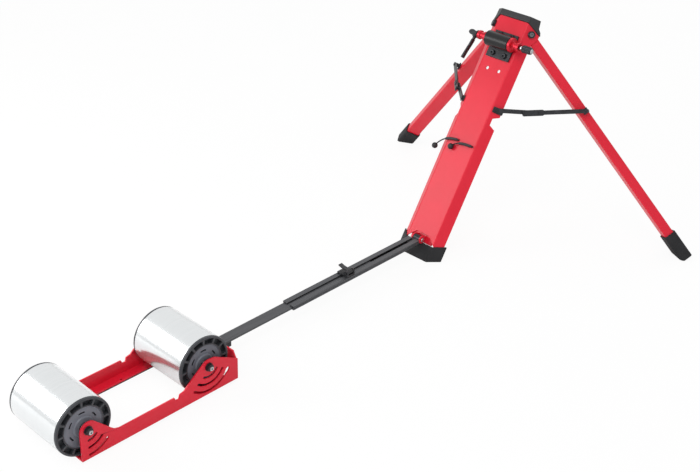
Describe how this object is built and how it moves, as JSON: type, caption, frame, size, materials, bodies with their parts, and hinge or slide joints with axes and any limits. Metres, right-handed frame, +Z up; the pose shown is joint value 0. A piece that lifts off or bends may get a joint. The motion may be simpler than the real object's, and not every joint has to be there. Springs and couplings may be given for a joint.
{
  "type": "fork mount roller trainer",
  "caption": "Bicycle roller trainer: a leaning tripod mast holds the front fork by a quick release mount, and a telescopic beam carries a frame with a pair of rollers for the rear wheel.",
  "frame": {"origin": "on the floor, in the middle of the mast's foot, under the front face of its web", "axes": "+X from the rollers towards the mast and its legs, +Y to the rider's left, +Z up; the floor is z = 0"},
  "size_m": [1.2935, 0.7882, 0.4455],
  "materials": {
    "red_paint": "gloss red powder coat",
    "black_plastic": "matt black moulding",
    "black_rubber": "soft black rubber",
    "black_steel": "satin black steel",
    "grey_aluminium": "dark grey anodised",
    "white_drum": "smooth bright silver white",
    "grey_plastic": "dark grey moulding",
    "bright_steel": "bright steel",
    "red_aluminium": "red anodised"
  },
  "bodies": {
    "mast": {"mast_channel": "red_paint", "mast_boot": "black_rubber", "mast_cap": "black_plastic", "beam_hinge_bracket": "red_paint", "beam_hinge_pin": "bright_steel", "fork_saddle": "black_steel", "fork_body": "black_plastic", "fork_cap_left": "red_aluminium", "fork_cap_right": "red_aluminium", "skewer_rod": "bright_steel", "skewer_cam_washer": "black_plastic", "left_leg_pivot_bolt": "black_steel", "right_leg_pivot_bolt": "black_steel", "left_stay_bracket": "black_steel", "right_stay_bracket": "black_steel", "upper_cord": "black_rubber", "upper_cord_ball": "black_plastic", "lower_cord": "black_rubber", "lower_cord_ball": "black_plastic"},
    "left_leg": {"left_leg_tube": "red_paint", "left_foot": "black_rubber", "left_stay_lug": "black_steel"},
    "right_leg": {"right_leg_tube": "red_paint", "right_foot": "black_rubber", "right_stay_lug": "black_steel"},
    "left_stay_lower": {"left_stay_lower": "black_steel"},
    "left_stay_upper": {"left_stay_upper": "black_steel"},
    "right_stay_lower": {"right_stay_lower": "black_steel"},
    "right_stay_upper": {"right_stay_upper": "black_steel"},
    "skewer_lever": {"skewer_lever": "black_steel"},
    "skewer_nut": {"skewer_nut": "black_steel"},
    "beam": {"beam_rail": "grey_aluminium", "beam_tongue": "black_steel", "clamp_base": "black_plastic"},
    "clamp_lever": {"clamp_lever": "black_plastic"},
    "bar": {"inner_bar": "grey_aluminium", "bar_knuckle": "black_steel"},
    "roller_frame": {"side_plate_left": "red_paint", "side_plate_right": "red_paint", "front_cross_plate": "red_paint", "frame_hinge_pin": "bright_steel", "frame_pad_left": "black_rubber", "frame_pad_right": "black_rubber", "front_axle": "bright_steel", "front_axle_nut": "black_steel", "front_magnet_carrier": "black_steel", "rear_axle": "bright_steel", "rear_axle_nut": "black_steel", "rear_magnet_carrier": "black_steel"},
    "front_drum": {"front_drum_shell": "white_drum", "front_drum_cap_left": "grey_plastic", "front_drum_cap_right": "grey_plastic", "front_bearing_left": "bright_steel", "front_bearing_right": "bright_steel"},
    "rear_drum": {"rear_drum_shell": "white_drum", "rear_drum_cap_left": "grey_plastic", "rear_drum_cap_right": "grey_plastic", "rear_bearing_left": "bright_steel", "rear_bearing_right": "bright_steel"}
  },
  "joints": [
    {"name": "left_leg_fold", "type": "hinge", "parent": "mast", "child": "left_leg", "pos_m": [0.25987, 0.04408, 0.41222], "axis": [-0.6294, 0.6782, 0.3794], "range_deg": [0, 59.3]},
    {"name": "left_stay_lower_fold", "type": "hinge", "parent": "mast", "child": "left_stay_lower", "pos_m": [0.17446, 0.04085, 0.2763], "axis": [-0.6294, 0.6782, 0.3794], "range_deg": [-85.78, 0]},
    {"name": "left_stay_upper_fold", "type": "hinge", "parent": "left_stay_lower", "child": "left_stay_upper", "pos_m": [0.22936, 0.09385, 0.27263], "axis": [-0.6294, 0.6782, 0.3794], "range_deg": [0, 185.89]},
    {"name": "right_leg_fold", "type": "hinge", "parent": "mast", "child": "right_leg", "pos_m": [0.25987, -0.04408, 0.41222], "axis": [0.6294, 0.6782, -0.3794], "range_deg": [0, 59.3]},
    {"name": "right_stay_lower_fold", "type": "hinge", "parent": "mast", "child": "right_stay_lower", "pos_m": [0.17446, -0.04085, 0.2763], "axis": [0.6294, 0.6782, -0.3794], "range_deg": [-85.78, 0]},
    {"name": "right_stay_upper_fold", "type": "hinge", "parent": "right_stay_lower", "child": "right_stay_upper", "pos_m": [0.22936, -0.09385, 0.27263], "axis": [0.6294, 0.6782, -0.3794], "range_deg": [0, 185.89]},
    {"name": "skewer_lever_open", "type": "hinge", "parent": "mast", "child": "skewer_lever", "pos_m": [0.21811, 0.0635, 0.39769], "axis": [0.8565, 0, -0.5162], "range_deg": [0, 180]},
    {"name": "skewer_nut_spin", "type": "hinge", "parent": "mast", "child": "skewer_nut", "pos_m": [0.21811, -0.0523, 0.39769], "axis": [0, 1, 0], "continuous": true},
    {"name": "beam_fold", "type": "hinge", "parent": "mast", "child": "beam", "pos_m": [0.0097, 0, 0.0364], "axis": [0, 1, 0], "range_deg": [-3, 100]},
    {"name": "clamp_lever_open", "type": "hinge", "parent": "beam", "child": "clamp_lever", "pos_m": [-0.19641, -0.0085, 0.04655], "axis": [1, 0, 0.0099], "range_deg": [0, 100]},
    {"name": "bar_slide", "type": "slide", "parent": "beam", "child": "bar", "axis": [-1, 0, -0.0099], "range_m": [-0.105, 0.05]},
    {"name": "roller_frame_fold", "type": "hinge", "parent": "bar", "child": "roller_frame", "pos_m": [-0.5133, 0, 0.0245], "axis": [0, 1, 0], "range_deg": [-8, 90]},
    {"name": "front_drum_spin", "type": "hinge", "parent": "roller_frame", "child": "front_drum", "pos_m": [-0.5913, 0, 0.058], "axis": [0, 1, 0], "continuous": true},
    {"name": "rear_drum_spin", "type": "hinge", "parent": "roller_frame", "child": "rear_drum", "pos_m": [-0.8258, 0, 0.058], "axis": [0, 1, 0], "continuous": true}
  ],
  "couplings": [
    {"joint": "left_stay_lower_fold", "follows": "left_leg_fold", "ratio": -1.4399},
    {"joint": "left_stay_upper_fold", "follows": "left_leg_fold", "ratio": 3.1279},
    {"joint": "right_stay_lower_fold", "follows": "right_leg_fold", "ratio": -1.4399},
    {"joint": "right_stay_upper_fold", "follows": "right_leg_fold", "ratio": 3.1279}
  ]
}
